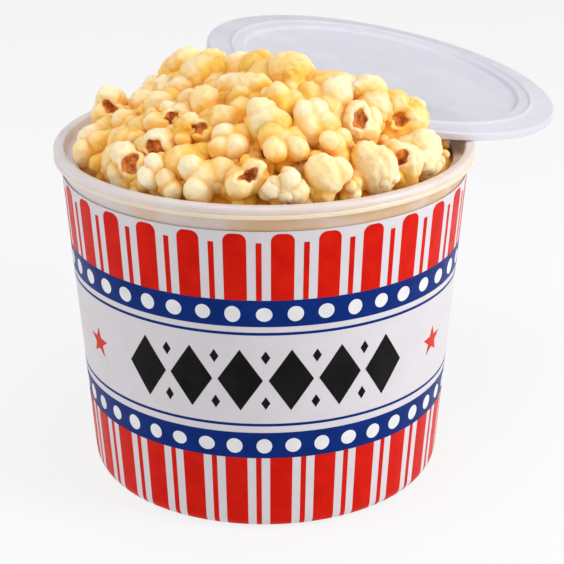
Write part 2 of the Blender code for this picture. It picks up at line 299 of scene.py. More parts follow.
WHITE_INK = linear(209, 204, 208)
WHITE_INK_DEEP = linear(212, 208, 213)
DOT_WHITE = linear(230, 229, 232)
DOT_WHITE_DEEP = linear(218, 217, 221)
RED = linear(210, 24, 4)
RED_DEEP = linear(197, 15, 0)
BLUE = linear(4, 42, 118)
BLUE_DEEP = linear(2, 36, 106)
BLACK = linear(22, 21, 23)
BLACK_DEEP = linear(12, 12, 13)
STAR_RED = linear(214, 58, 42)
STAR_RED_DEEP = linear(200, 46, 32)
MILKY = linear(246, 241, 240)
MILKY_CLOUD = linear(240, 236, 242)
MILKY_LID = linear(233, 232, 240)
MILKY_LID_CLOUD = linear(226, 225, 236)
# Painted light on the lip: the corn's tan, as if seen through the plastic
CORN_TAN_PAINT = linear(236, 200, 160)
LIT_LIP = linear(255, 240, 212)
CREAM = linear(250, 234, 200)
# Buttery yellow: each kernel's own tone, and painted shade in creases and gaps
BUTTER_SHADE_YELLOW = linear(251, 200, 82)
# Orange painted shade in creases and gaps
CREVICE = linear(255, 158, 5)
HULL = linear(232, 138, 34)
HULL_DARK = linear(140, 50, 8)
FLOOR_COLOUR = linear(112, 112, 112)
FLOOR_DEEP = linear(110, 110, 110)


# Materials

def new_material(name, colour, roughness, **sockets):
    """A material with its shader's own sockets set; an underscore in a socket's name stands for a space."""
    made = bpy.data.materials.new(name)
    made.use_nodes = True
    shader = made.node_tree.nodes["Principled BSDF"]
    shader.inputs["Base Color"].default_value = colour
    shader.inputs["Roughness"].default_value = roughness
    for socket, value in sockets.items():
        shader.inputs[socket.replace("_", " ")].default_value = value
    return made, made.node_tree, shader


def place_of(tree):
    """The place on the piece, in its own coordinates."""
    return tree.nodes.new("ShaderNodeTexCoord").outputs["Object"]


def noise(tree, scale, detail, roughness=0.5):
    node = tree.nodes.new("ShaderNodeTexNoise")
    node.inputs["Scale"].default_value = scale
    node.inputs["Detail"].default_value = detail
    node.inputs["Roughness"].default_value = roughness
    tree.links.new(place_of(tree), node.inputs["Vector"])
    return node.outputs["Fac"]


def ranged(tree, value, low, high, new_low, new_high):
    """A value moved from one range to another, and held inside it."""
    node = tree.nodes.new("ShaderNodeMapRange")
    for index, number in enumerate((low, high, new_low, new_high), 1):
        node.inputs[index].default_value = number
    tree.links.new(value, node.inputs[0])
    return node.outputs[0]


def mixed(tree, factor, first, second):
    """A mix of two colours, each a socket or a plain colour."""
    node = tree.nodes.new("ShaderNodeMix")
    node.data_type = "RGBA"
    tree.links.new(factor, node.inputs["Factor"])
    for name, colour in (("A", first), ("B", second)):
        socket = next(s for s in node.inputs if s.name == name and s.type == "RGBA")
        if isinstance(colour, bpy.types.NodeSocket):
            tree.links.new(colour, socket)
        else:
            socket.default_value = colour
    return next(s for s in node.outputs if s.type == "RGBA")


def roughened(tree, shader, scale, detail, low, high):
    """Roughness that varies in patches between two values."""
    patches = ranged(tree, noise(tree, scale, detail), *NOISE_WIDE, low, high)
    tree.links.new(patches, shader.inputs["Roughness"])


def combined(tree, operation, total, *others):
    """The sum or product of two or more values, held between 0 and 1."""
    for other in others:
        node = tree.nodes.new("ShaderNodeMath")
        node.operation = operation
        node.use_clamp = True
        tree.links.new(total, node.inputs[0])
        tree.links.new(other, node.inputs[1])
        total = node.outputs[0]
    return total


def bumped(tree, shader, height, strength, distance):
    node = tree.nodes.new("ShaderNodeBump")
    node.inputs["Strength"].default_value = strength
    node.inputs["Distance"].default_value = distance
    tree.links.new(height, node.inputs["Height"])
    tree.links.new(node.outputs["Normal"], shader.inputs["Normal"])


def ink(name, colour, deep):
    """Satin print on plastic: slightly uneven ink, with a faint orange peel."""
    made, tree, shader = new_material(name, colour, 0.34, Specular_IOR_Level=0.06)
    uneven = ranged(tree, noise(tree, 120, 4), *NOISE_MIDDLE, 0, 1)
    tree.links.new(mixed(tree, uneven, colour, deep), shader.inputs["Base Color"])
    roughened(tree, shader, 300, 2, 0.28, 0.42)
    bumped(tree, shader, noise(tree, 1400, 2), 0.12, 0.0001)
    return made


def painted_corn_light(tree, plain):
    """Painted tan of the corn as if seen through the lip, blotched with painted shadow and fainter on the
    left.

    Between the skirt's lower edge and the groove the lip is lit from inside, so a bright line lies there.
    """
    split = tree.nodes.new("ShaderNodeSeparateXYZ")
    tree.links.new(place_of(tree), split.inputs["Vector"])
    across, _, up = split.outputs
    # Painted light: the corn's tan low on the lip, blotched with painted shadow and fainter on the left
    below_rim = ranged(tree, up, *((RIM_HEIGHT - drop) * MM for drop in CORN_TAN_DROPS), 0.25, 1)
    shadow_blotches = ranged(tree, noise(tree, 62, 2), 0.35, 0.6, 0.35, 1)
    right = ranged(tree, across, *(place * MM for place in CORN_TAN_ACROSS), 0.2, 1)
    amount = combined(tree, "MULTIPLY", below_rim, shadow_blotches, right)
    painted_tan = mixed(tree, amount, plain, CORN_TAN_PAINT)
    skirt, line = RIM_HEIGHT - LIP_HEIGHT, RIM_HEIGHT - LIP_GROOVE_DROP
    above_skirt = ranged(tree, up, (skirt - 0.2) * MM, (skirt + 0.1) * MM, 0, 1)
    below_line = ranged(tree, up, (line - 0.1) * MM, (line + 0.3) * MM, 0.9, 0)
    lit = combined(tree, "MULTIPLY", above_skirt, below_line, right)
    return mixed(tree, lit, painted_tan, LIT_LIP)


def milky(name, colour, cloudy, transmission, corn_tan_painted=False):
    """Milky polypropylene: cloudy, a little see-through, with fine moulding lines."""
    made, tree, shader = new_material(
        name, colour, 0.36, IOR=1.4, Transmission_Weight=transmission, Specular_IOR_Level=0.5,
        Subsurface_Weight=0.2, Subsurface_Scale=0.002, Subsurface_Radius=(1.0, 0.95, 0.9),
    )
    cloud = ranged(tree, noise(tree, 45, 3), *NOISE_MIDDLE, 0, 1)
    plain = mixed(tree, cloud, colour, cloudy)
    # On the filled tub, the corn's tan and a bright line are painted on the lip
    tree.links.new(painted_corn_light(tree, plain) if corn_tan_painted else plain, shader.inputs["Base Color"])
    roughened(tree, shader, 160, 3, 0.3, 0.44)
    bumped(tree, shader, noise(tree, 520, 2), 0.08, 0.0002)
    return made


def corn(name, rough):
    """Popped corn: cream lobes, buttery tones, painted shade in creases and gaps, brown hull, as the mesh's
    tone says.
    """
    made, tree, shader = new_material(
        name, CREAM, rough, Subsurface_Weight=0.45, Subsurface_Scale=0.004,
        Subsurface_Radius=(1.0, 0.72, 0.25), Sheen_Weight=0.05, Specular_IOR_Level=0.36,
    )
    tone = tree.nodes.new("ShaderNodeAttribute")
    tone.attribute_name = "tone"
    parts = tree.nodes.new("ShaderNodeSeparateColor")
    tree.links.new(tone.outputs["Color"], parts.inputs["Color"])
    # Orange is painted shade; the buttery part is painted shade over each kernel's own tone
    orange, butter_and_shade, hull = parts.outputs
    patches = ranged(tree, noise(tree, 110, 3), 0.35, 0.7, -0.15, 0.2)
    body = mixed(tree, combined(tree, "ADD", butter_and_shade, patches), CREAM, BUTTER_SHADE_YELLOW)
    body = mixed(tree, orange, body, CREVICE)
    husk = mixed(tree, ranged(tree, noise(tree, 420, 4), *NOISE_MIDDLE, 0, 1), HULL, HULL_DARK)
    pit = ranged(tree, hull, 0.4, 0.56, 0, 1)
    tree.links.new(mixed(tree, pit, body, husk), shader.inputs["Base Color"])
    roughened(tree, shader, 350, 3, rough - 0.1, rough + 0.12)
    bumped(tree, shader, noise(tree, 260, 5, 0.55), 0.5, 0.0022)
    return made


# Shapes

def added(name, data):
    """A new object in the scene."""
    obj = bpy.data.objects.new(name, data)
    bpy.context.scene.collection.objects.link(obj)
    return obj


def finished(name, bm, material, sharp=30):
    """A piece from a bmesh, smooth but for its sharp edges."""
    mesh = bpy.data.meshes.new(name)
    bm.to_mesh(mesh)
    bm.free()
    mesh.shade_smooth()
    mesh.set_sharp_from_angle(angle=math.radians(sharp))
    return placed(name, mesh, material)


def placed(name, mesh, material):
    """A piece with its mesh and material, riding with the tub."""
    obj = added(name, mesh)
    mesh.materials.append(material)
    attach(obj, "root")
    return obj


def wall_radius(height):
    """Outer radius of the tub's tapered wall."""
    return WALL_MID_RADIUS + WALL_SLOPE * (height - WALL_MID_HEIGHT)


def inner_wall_radius(height):
    return wall_radius(height) - WALL_THICKNESS


def arc(centre, radius, start, end, steps):
    """Points (radius, height) along an arc, with angles in degrees from the outward direction."""
    angles = np.radians(np.linspace(start, end, steps + 1))
    return [(centre[0] + radius * math.cos(a), centre[1] + radius * math.sin(a)) for a in angles]


def rounded(radius, height, rounding, start, steps):
    """A quarter round, from the angle start on, in place of the corner at (radius, height)."""
    inward = rounding if start >= 90 else -rounding
    upward = rounding if start < 0 else -rounding
    return arc((radius + inward, height + upward), rounding, start, start + 90, steps)


LEAN = math.degrees(math.atan(WALL_SLOPE))
CORNER_CENTRE = (
    wall_radius(CORNER_RADIUS) - CORNER_RADIUS / math.cos(math.radians(LEAN)), CORNER_RADIUS,
)


def corner(offset, steps, start=-90.0):
    """The rounded bottom corner, moved outward by offset."""
    return arc(CORNER_CENTRE, CORNER_RADIUS + offset, start, -LEAN, steps)


def turned(name, profile, material, matrix=None):
    """A solid of revolution from a closed outline of (radius, height) points."""
    bm = bmesh.new()
    points = [bm.verts.new((radius * MM, 0, height * MM)) for radius, height in profile]
    on_axis = profile[0][0] == 0 and profile[-1][0] == 0
    ends = points[1:] if on_axis else points[1:] + points[:1]
    edges = [bm.edges.new(pair) for pair in zip(points, ends)]
    bmesh.ops.spin(
        bm, geom=points + edges, axis=(0, 0, 1), cent=(0, 0, 0), angle=2 * math.pi, steps=ROUND_STEPS,
        use_merge=True,
    )
    bmesh.ops.remove_doubles(bm, verts=bm.verts, dist=0.01 * MM)
    bmesh.ops.recalc_face_normals(bm, faces=bm.faces)
    if matrix:
        bm.transform(matrix)
    return finished(name, bm, material)


def make_tub(material):
    """The tub: its outside from the floor up to the skirt, the lip's crown, and the inside down again."""
    lip_bottom = RIM_HEIGHT - LIP_HEIGHT
    skirt_inner = LIP_RADIUS - SKIRT_THICKNESS
    groove_top = lip_bottom + SKIRT_THICKNESS
    ledge_height = RIM_HEIGHT - LEDGE_DEPTH
    below_ledge = ledge_height - LEDGE_THICKNESS
    inner_floor_radius = wall_radius(CORNER_RADIUS) - CORNER_RADIUS
    line = RIM_HEIGHT - LIP_GROOVE_DROP
    outer = [(0, 0)] + corner(0, 10)
    flare = groove_top - FLARE_HEIGHT
    outer += [(wall_radius(flare), flare), (wall_radius(groove_top) + FLARE, groove_top)]
    outer += [(skirt_inner, groove_top), (skirt_inner, lip_bottom + SKIRT_BEVEL)]
    outer += [(skirt_inner + SKIRT_BEVEL, lip_bottom)]
    outer += rounded(LIP_RADIUS, lip_bottom, SKIRT_ROUNDING, -90, 3)
    outer += [(LIP_RADIUS, line - GROOVE_HALF_WIDTH), (LIP_RADIUS - LIP_GROOVE_DEPTH, line)]
    outer += [(LIP_RADIUS - LIP_STEP, line + GROOVE_HALF_WIDTH - LIP_STEP)]
    lip = rounded(LIP_RADIUS, RIM_HEIGHT, LIP_ROUNDING, 0, 8)
    inner = rounded(LIP_INNER_RADIUS, RIM_HEIGHT, LIP_INNER_ROUNDING, 90, 5)
    foot, above_foot = LIP_FOOT
    inner += [(LIP_INNER_RADIUS - above_foot, ledge_height + LIP_FOOT_HEIGHT)]
    inner += [(LIP_INNER_RADIUS - foot, ledge_height)]
    inner += rounded(LEDGE_RADIUS, ledge_height, LEDGE_ROUNDING, 90, 4)
    inner += [(LEDGE_RADIUS, below_ledge)]
    inner += [(inner_wall_radius(below_ledge - LEDGE_THICKNESS), below_ledge - LEDGE_THICKNESS)]
    inner += [(inner_wall_radius(CORNER_RADIUS), CORNER_RADIUS)]
    inner += [(inner_floor_radius, FLOOR_THICKNESS), (0, FLOOR_THICKNESS)]
    return turned("tub", outer + lip + inner, material)


def make_sleeve(material):
    """The ground of the print, a thin skin round the wall and most of the bottom corner."""
    def side(offset):
        start = -math.degrees(math.asin((CORNER_RADIUS - LABEL_BOTTOM) / (CORNER_RADIUS + offset)))
        return corner(offset, 8, start) + [(wall_radius(LABEL_TOP) + offset, LABEL_TOP)]

    return turned("sleeve", side(GAP + LABEL_THICKNESS) + side(GAP)[::-1], material)


def on_sleeve(degrees, height, lift):
    """A point on the sleeve's outer face, with degrees counted from the front towards the right."""
    offset = GAP + LABEL_THICKNESS + lift
    reach = CORNER_RADIUS + offset
    if height < CORNER_RADIUS - reach * math.sin(math.radians(LEAN)):
        radius = CORNER_CENTRE[0] + math.sqrt(reach * reach - (CORNER_RADIUS - height) ** 2)
    else:
        radius = wall_radius(height) + offset / math.cos(math.radians(LEAN))
    angle = math.radians(degrees) - math.pi / 2
    return Vector((radius * math.cos(angle), radius * math.sin(angle), height)) * MM


def degrees_per_mm(height):
    return math.degrees(1 / (wall_radius(height) + GAP + LABEL_THICKNESS))


def bridge(bm, first, second, wraps=True):
    """Faces between two rows of points, which are closed rings unless told otherwise."""
    for step in range(len(first) if wraps else len(first) - 1):
        after = (step + 1) % len(first)
        bm.faces.new((first[step], first[after], second[after], second[step]))


def fan(bm, ring, middle):
    """Faces between a ring of points and one in its middle."""
    for first, second in zip(ring, ring[1:] + ring[:1]):
        bm.faces.new((first, second, middle))


def add_slab(bm, rows, lift, wraps=False):
    """A thin plate of print from rows of (degrees, height) points, closed at its sides and back."""
    front, back = (
        [[bm.verts.new(on_sleeve(*point, height)) for point in row] for row in rows]
        for height in (lift, -PRINT_DEPTH)
    )
    for layer in (front, back):
        for low, high in zip(layer, layer[1:]):
            bridge(bm, low, high, wraps)
    for row in (0, -1):
        bridge(bm, front[row], back[row], wraps)
    if not wraps:
        for column in (0, -1):
            bridge(bm, [row[column] for row in front], [row[column] for row in back], wraps)


def add_patch(bm, outline, centre, lift, rings):
    """A thin plate of print inside an outline that can be seen whole from its centre."""
    rims = []
    for height in (lift, -PRINT_DEPTH):
        middle = bm.verts.new(on_sleeve(*centre, height))
        made = [
            [
                bm.verts.new(on_sleeve(*(c + (p - c) * ring / rings for p, c in zip(point, centre)), height))
                for point in outline
            ]
            for ring in range(1, rings + 1)
        ]
        fan(bm, made[0], middle)
        for small, large in zip(made, made[1:]):
            bridge(bm, small, large)
        rims.append(made[-1])
    bridge(bm, *rims)


def stripe_rows(middle, width, low, high, rounding):
    """Rows of points for an upright stripe, width degrees wide, whose upper corners are rounded."""
    columns = [0.5 - 0.5 * math.cos(math.pi * step / STRIPE_COLUMNS) for step in range(STRIPE_COLUMNS + 1)]
    per_mm = degrees_per_mm(high)
    tops = []
    for share in columns:
        inward = min(share, 1 - share) * width / per_mm
        drop = rounding - math.sqrt(max(0.0, rounding**2 - max(0.0, rounding - inward) ** 2))
        tops.append(high - drop)
    return [
        [(middle + (column - 0.5) * width, low + (top - low) * share) for column, top in zip(columns, tops)]
        for share in STRIPE_ROWS
    ]


def band_rows(low, high):
    """The two edges of a band all the way round, one point to each degree."""
    return [[(step, height) for step in range(360)] for height in (low, high)]


def disc(degrees, height, radius, squash):
    """An outline that is round, or slightly not, on the sleeve."""
    per_mm = degrees_per_mm(height)
    return [
        (degrees + radius * per_mm * math.cos(a) * squash, height + radius * math.sin(a) / squash)
        for a in (2 * math.pi * step / DOT_STEPS for step in range(DOT_STEPS))
    ]


def star(degrees, height, radius, tilt):
    """The outline of a five-pointed star, with each edge in four."""
    per_mm = degrees_per_mm(height)
    tips = []
    for index in range(10):
        reach = radius * (1 if index % 2 == 0 else STAR_WAIST)
        angle = math.pi / 2 + index * math.pi / 5 + tilt
        tips.append((degrees + reach * math.cos(angle) * per_mm, height + reach * math.sin(angle)))
    return in_parts(tips, 4)


def in_parts(corners, count):
    """A closed outline with each of its edges cut into a number of parts."""
    found = []
    for first, second in zip(corners, corners[1:] + corners[:1]):
        for part in range(count):
            share = part / count
            found.append(tuple(a + (b - a) * share for a, b in zip(first, second)))
    return found


def lozenge(degrees, height, half_width, half_height):
    corners = [
        (degrees + half_width, height), (degrees, height + half_height),
        (degrees - half_width, height), (degrees, height - half_height),
    ]
    return in_parts(corners, 8)


def make_print(inks):
    """The relief of the print: red stripes, blue bands and lines, white dots, lozenges and red stars."""
    draw = random.Random(SEED)
    red, blue, white, black, stars = (bmesh.new() for _ in range(5))
    upper_tops = (UPPER_STRIPE_TOP, UPPER_STRIPE_TOP - NARROW_DROP)
    lower_tops = (LOWER_BAND[0] + UNDER_BAND, LOWER_BAND[0] + UNDER_BAND)
    for pitches, widths, low, tops, corners in (
        (UPPER_PITCHES, UPPER_STRIPES, UPPER_BAND[1] - UNDER_BAND, upper_tops, UPPER_CORNERS),
        (LOWER_PITCHES, LOWER_STRIPES, LABEL_BOTTOM + ABOVE_HEM, lower_tops, LOWER_CORNERS),
    ):
        for index in range(pitches):
            middle = PITCH_OFFSET + index * 360 / pitches
            middles = (middle, middle + 180 / pitches)
            for stripe in zip(middles, widths, (low, low), tops, corners):
                add_slab(red, stripe_rows(*stripe), PRINT_LIFT)
    for (low, high), (count, offset) in ((UPPER_BAND, UPPER_DOTS), (LOWER_BAND, LOWER_DOTS)):
        add_slab(blue, band_rows(low, high), BAND_LIFT, wraps=True)
        for index in range(count):
            degrees = offset + index * 360 / count + draw.uniform(-DOT_SHIFT, DOT_SHIFT)
            radius = DOT_RADIUS * draw.uniform(*DOT_SIZES)
            height = (low + high) / 2 - DOT_DROP + draw.uniform(-DOT_SHIFT, DOT_SHIFT)
            outline = disc(degrees, height, radius, draw.uniform(*DOT_SQUASH))
            add_patch(white, outline, (degrees, height), DOT_LIFT, 4)
    for height in (UPPER_LINE, LOWER_LINE):
        add_slab(blue, band_rows(height - LINE_WIDTH / 2, height + LINE_WIDTH / 2), PRINT_LIFT, wraps=True)
    for side in (0, 180):
        for sign in (-1, 1):
            degrees = side + sign * STAR_ANGLE
            outline = star(degrees, PANEL_MIDDLE, STAR_RADIUS, sign * STAR_TILT)
            add_patch(stars, outline, (degrees, PANEL_MIDDLE), PRINT_LIFT, 5)
        for angle in LOZENGE_ANGLES:
            centre = (side + angle, PANEL_MIDDLE)
            add_patch(black, lozenge(*centre, *LOZENGE_HALF), centre, PRINT_LIFT, 6)
        for left, right in zip(LOZENGE_ANGLES, LOZENGE_ANGLES[1:]):
            for sign in (-1, 1):
                centre = (side + (left + right) / 2, PANEL_MIDDLE + sign * PIP_RISE)
                add_patch(black, lozenge(*centre, *PIP_HALF), centre, PRINT_LIFT, 2)
    names = ("print_red", "print_blue", "print_dots", "print_lozenges", "print_stars")
    for name, bm, material in zip(names, (red, blue, white, black, stars), inks):
        bmesh.ops.recalc_face_normals(bm, faces=bm.faces)
        finished(name, bm, material)


def lid_pose():
    """The matrix that lays the lid's lower edge on the lip's crown, a small gap above it."""
    across = Vector((math.cos(LID_LOWER_ON_RIGHT), 0, -math.sin(LID_LOWER_ON_RIGHT)))
    back = Vector((0, math.cos(LID_RAISED_AT_BACK), math.sin(LID_RAISED_AT_BACK)))
    back = (back - across * back.dot(across)).normalized()
    up = across.cross(back)
    height = 0.0
    crown = (LIP_RADIUS + LIP_INNER_RADIUS) / 2
    for radius in (LIP_INNER_RADIUS, crown, LIP_RADIUS - LIP_ROUNDING):
        for step in range(360):
            angle = math.radians(step)
            x = radius * math.cos(angle) - LID_CENTRE[0]
            y = radius * math.sin(angle) - LID_CENTRE[1]
            if x * x + y * y < (LID_RADIUS + 1) ** 2:
                height = max(height, RIM_HEIGHT + GAP + (up.x * x + up.y * y) / up.z)
    place = Vector((*LID_CENTRE, height))
    return Matrix.Translation(place) @ Matrix((across, back, up)).transposed().to_4x4()


def make_lid(pose, material):
    """The lid, laid at its pose: underside, skirt, ridge and sunken panel."""
    top = LID_HEIGHT
    under = top - LID_THICKNESS
    inside = LID_RADIUS - LID_SKIRT_THICKNESS
    panel = LID_PANEL_RADIUS - LID_STEP_WIDTH
    profile = [(0, under - LID_PANEL_DROP), (panel, under - LID_PANEL_DROP), (LID_PANEL_RADIUS, under)]
    profile += [(inside, under), (inside, LID_SKIRT_BEVEL), (inside + LID_SKIRT_BEVEL, 0)]
    profile += rounded(LID_RADIUS, 0, LID_SKIRT_ROUNDING, -90, 3)
    profile += rounded(LID_RADIUS, top, LID_ROUNDING, 0, 6)
    for step in range(LID_RIDGE_STEPS + 1):
        share = step / LID_RIDGE_STEPS
        rise = LID_RIDGE_HEIGHT * math.sin(math.pi * share) ** 2
        profile.append((LID_RIDGE_RADIUS + LID_RIDGE_WIDTH * (0.5 - share), top + rise))
    for step in range(LID_PANEL_STEPS + 1):
        share = step / LID_PANEL_STEPS
        drop = LID_PANEL_DROP * (0.5 - 0.5 * math.cos(math.pi * share))
        profile.append((LID_PANEL_RADIUS - LID_STEP_WIDTH * share, top - drop))
    profile.append((0, top - LID_PANEL_DROP))
    matrix = Matrix.Translation(pose.translation * MM) @ pose.to_3x3().to_4x4()
    return turned("lid_top", profile, material, matrix)


# Heap, with the same places and lobes as the solid

def below_lid(x, y, pose, reach):
    """Height of the lid's lower edge plane above (x, y), or infinity beyond the lid and its reach."""
    place = pose.translation
    up = pose.col[2]
    dx, dy = x - place.x, y - place.y
    if dx * dx + dy * dy > (LID_RADIUS + reach) ** 2:
        return math.inf
    return place.z - (up.x * dx + up.y * dy) / up.z


def heap_top(x, y):
    """Height of the heap's outer surface: a steep-sided dome, lower on the left and at the edge."""
    share = min(1.0, math.hypot(x, y) / HEAP_RADIUS)
    rise = HEAP_RISE * (1 - share**HEAP_ROUNDNESS) ** HEAP_SHOULDER
    rise *= 1 - HEAP_LEFT_DROP * (max(0.0, -x) / HEAP_RADIUS) ** HEAP_LEFT_POWER
    return RIM_HEIGHT + rise


def back_left_drop(x, y):
    """How much lower the heap's edge lies at the left and back left, where the tub's inside shows."""
    radius = max(1.0, math.hypot(x, y))
    return EDGE_BACK_LEFT_DROP * max(0.0, -x / radius) * max(0.0, DROP_TURNS_FRONT + y / radius)


def core_top(x, y, pose):
    """Height of the core under the kernels: a narrower dome on a shelf that carries the edge kernels."""
    radius = math.hypot(x, y)
    dome = heap_top(x * CORE_NARROWING, y * CORE_NARROWING) - CORE_DEPTH
    shelf = RIM_HEIGHT - CORE_EDGE + SHELF_RISE * (1 - (radius / LEDGE_RADIUS) ** 4)
    shelf -= SHELF_BACK_DROP * max(0.0, y) / max(radius, 1.0)
    drop = back_left_drop(x, y) * (radius / LEDGE_RADIUS) ** 2
    low = below_lid(x, y, pose, LID_REACH) - LID_CLEARANCE
    return max(min(max(dome, shelf) - drop, low), RIM_HEIGHT - CORE_LEAST)


def clear_of_lid(place, radius, pose):
    """A kernel's place, moved clear of the lid's edge or lowered under it, or None where it is hidden."""
    extent = radius * KERNEL_EXTENT + 2 * GAP
    lid = pose.translation.xy
    away = place.xy - lid
    if away.length > LID_RADIUS + extent:
        return place
    if away.length < LID_HIDES * LID_RADIUS:
        return None
    beyond = lid + away.normalized() * (LID_RADIUS + extent)
    near_edge = away.length > LID_NEAR_EDGE * LID_RADIUS and place.z > pose.translation.z
    if near_edge and beyond.length < LEDGE_RADIUS - extent:
        return Vector((*beyond, place.z))
    flat = place.xy * min(1.0, (LEDGE_RADIUS - extent) / place.xy.length)
    outside = max(0.0, (flat - lid).length - LID_RADIUS)
    under_edge = math.sqrt(max(0.0, extent * extent - outside * outside))
    return Vector((*flat, min(place.z, below_lid(*flat, pose, 2 * extent) - under_edge)))


def wall_limit(place, radius):
    """How far from the axis a kernel may lie: inside the lip in front, and inside the ledge behind."""
    behind = place.y > BEHIND * place.length
    return (LEDGE_RADIUS if behind else LIP_INNER_RADIUS) - 2 * GAP - radius * KERNEL_EXTENT


def spread_out(places, radii, spacing):
    """Moves the places apart along the heap's surface, so that they cover it evenly."""
    for _ in range(EVEN_ROUNDS):
        spots = [Vector((*place, heap_top(*place))) for place in places]
        for index, spot in enumerate(spots):
            push = Vector((0, 0))
            for near in spots[:index] + spots[index + 1:]:
                away = spot - near
                if away.length < spacing:
                    push += away.xy * (spacing / away.length - 1)
            place = places[index] + push * EVEN_STEP
            places[index] = place * min(1.0, wall_limit(place, radii[index]) / place.length)


def spiral(count, reach, turn=0.0):
    """Places on a sunflower's spiral, closer together towards the edge."""
    places = []
    for index in range(count):
        angle = index * GOLDEN_ANGLE + turn
        along = reach * ((index + 0.5) / count) ** KERNEL_SPREAD
        places.append(Vector((math.cos(angle), math.sin(angle))) * along)
    return places


def kernels(pose):
    """Centre, mean radius and seed of each kernel that shows, and whether it lies against the wall."""
    draw = random.Random(SEED)
    places = spiral(KERNEL_COUNT, KERNEL_REACH)
    radii, lifts = [], []
    for _ in places:
        radii.append(draw.uniform(*KERNEL_RADIUS))
        lifts.append(draw.uniform(-KERNEL_LIFT, KERNEL_LIFT))
    spread_out(places, radii, EVEN_SPACING)
    found = []
    for index, (flat, radius) in enumerate(zip(places, radii)):
        behind = max(0.0, flat.y) / flat.length
        level = EDGE_FRONT_LEVEL + behind * (EDGE_BACK_LEVEL - EDGE_FRONT_LEVEL)
        level -= back_left_drop(flat.x, flat.y)
        slope = level + EDGE_STEEPNESS * (wall_limit(flat, radius) - flat.length)
        rise = min(heap_top(flat.x, flat.y) - RIM_HEIGHT - KERNEL_SINK * radius, slope)
        start = Vector((*flat, RIM_HEIGHT + rise + lifts[index]))
        place = clear_of_lid(start, radius, pose)
        if place:
            at_wall = place == start and flat.length > wall_limit(flat, radius) - EDGE_WIDTH
            found.append((place, radius, SEED * 1000 + index, at_wall))
    perched = Vector(PERCHED_KERNEL) + Vector((0, 0, RIM_HEIGHT))
    found.append((perched, PERCHED_RADIUS, SEED * 1000 + KERNEL_COUNT, False))
    return found


def lobes(seed, place):
    """Centres and radii of the lobes of one popped kernel of mean radius 1, and its stretch and turn.

    The turn brings the first lobe, which is the cap of a capped kernel, to the heap's outside.
    """
    draw = random.Random(seed)
    capped = draw.random() < CAP_SHARE
    count = draw.randint(*LOBE_COUNT)
    parts = [(Vector((0, 0, 0)), LOBE_BODY)]
    for index in range(count):
        rise = 1 - 2 * (index + 0.5) / count
        spread = math.sqrt(1 - rise * rise)
        angle = index * GOLDEN_ANGLE + draw.uniform(-LOBE_TURN, LOBE_TURN)
        size = draw.uniform(*(CAP_RADIUS if capped and index == 0 else LOBE_RADIUS))
        rise += draw.uniform(-LOBE_SHIFT, LOBE_SHIFT)
        away = Vector((spread * math.cos(angle), spread * math.sin(angle), rise))
        parts.append((away.normalized() * (LOBE_END - size), size))
    stretch = Vector(draw.uniform(*STRETCH) for _ in range(3))
    lean = Vector(draw.uniform(-CAP_LEAN, CAP_LEAN) for _ in range(3))
    facing = Vector((place.x, place.y, OUTWARD_RISE)).normalized() + lean
    spin = Matrix.Rotation(draw.uniform(0, 2 * math.pi), 3, "Z")
    return parts, stretch, facing.to_track_quat("Z", "Y").to_matrix() @ spin


def with_buds(parts, seed):
    """The lobes with smaller round buds that stand a little out of each."""
    draw = random.Random(seed + 7)
    found = list(parts)
    for centre, size in parts[1:]:
        outward = centre.normalized()
        for _ in range(draw.randint(*BUD_COUNT)):
            side = Vector(draw.gauss(0, 1) for _ in range(3)).normalized()
            away = (outward * draw.uniform(0.1, 0.9) + side).normalized()
            bud = size * draw.uniform(*BUD_RADIUS)
            found.append((centre + away * (size - bud * BUD_SINK), bud))
    return found


class Ball:
    """Directions of an even ball of triangles, and each one's neighbours."""

    def __init__(self, subdivisions):
        bm = bmesh.new()
        bmesh.ops.create_icosphere(bm, subdivisions=subdivisions, radius=1)
        bm.verts.ensure_lookup_table()
        self.directions = np.array([vert.co.normalized() for vert in bm.verts])
        self.faces = np.array([[vert.index for vert in face.verts] for face in bm.faces])
        around = [[edge.other_vert(vert).index for edge in vert.link_edges] for vert in bm.verts]
        self.neighbours = np.array([(near + near[:1])[:6] for near in around])
        bm.free()

    def smoothed(self, values, rounds):
        """Values at the directions, evened out with their neighbours a number of times."""
        for _ in range(rounds):
            values = 0.5 * values + 0.5 * values[self.neighbours].mean(axis=1)
        return values


def wall_room(points):
    """How far each point of a kernel lies from the lip or, lower down, from a cone on the ledge's edge."""
    above_ledge = points[:, 2] - (RIM_HEIGHT - LEDGE_DEPTH)
    limit = np.minimum(LIP_INNER_RADIUS, LEDGE_RADIUS + LEDGE_CONE * above_ledge)
    return limit - np.hypot(points[:, 0], points[:, 1])


def ray_reach(directions, spheres):
    """How far each ray from the middle goes before it leaves all the spheres, with the joins rounded."""
    centres = np.array([part[0] for part in spheres])
    sizes = np.array([part[1] for part in spheres])
    along = directions @ centres.T
    inside = sizes**2 - (centres**2).sum(axis=1) + along**2
    reach = np.where(inside > 0, along + np.sqrt(np.maximum(inside, 0)), 0)
    return FINE_BLEND * np.log((np.exp(reach / FINE_BLEND) * (inside > 0)).sum(axis=1))


def pit_distance(directions, towards, draw):
    """How far each direction lies from the middle of a ragged oval pit, as a share of its half width."""
    towards /= np.linalg.norm(towards)
    side = np.cross(towards, draw.normal(size=3))
    side /= np.linalg.norm(side)
    gap = directions - towards * (directions @ towards)[:, None]
    along = gap @ side
    across = gap @ np.cross(towards, side)
    ragged = 1 + HULL_RAGGED * np.sin(9 * directions[:, 0] + 3) * np.sin(11 * directions[:, 1] + 1)
    off = np.sqrt((along * HULL_NARROWING) ** 2 + across**2) / (HULL_REACH * HULL_NARROWING * ragged)
    return np.where(directions @ towards > 0, off, OUTSIDE_PIT)


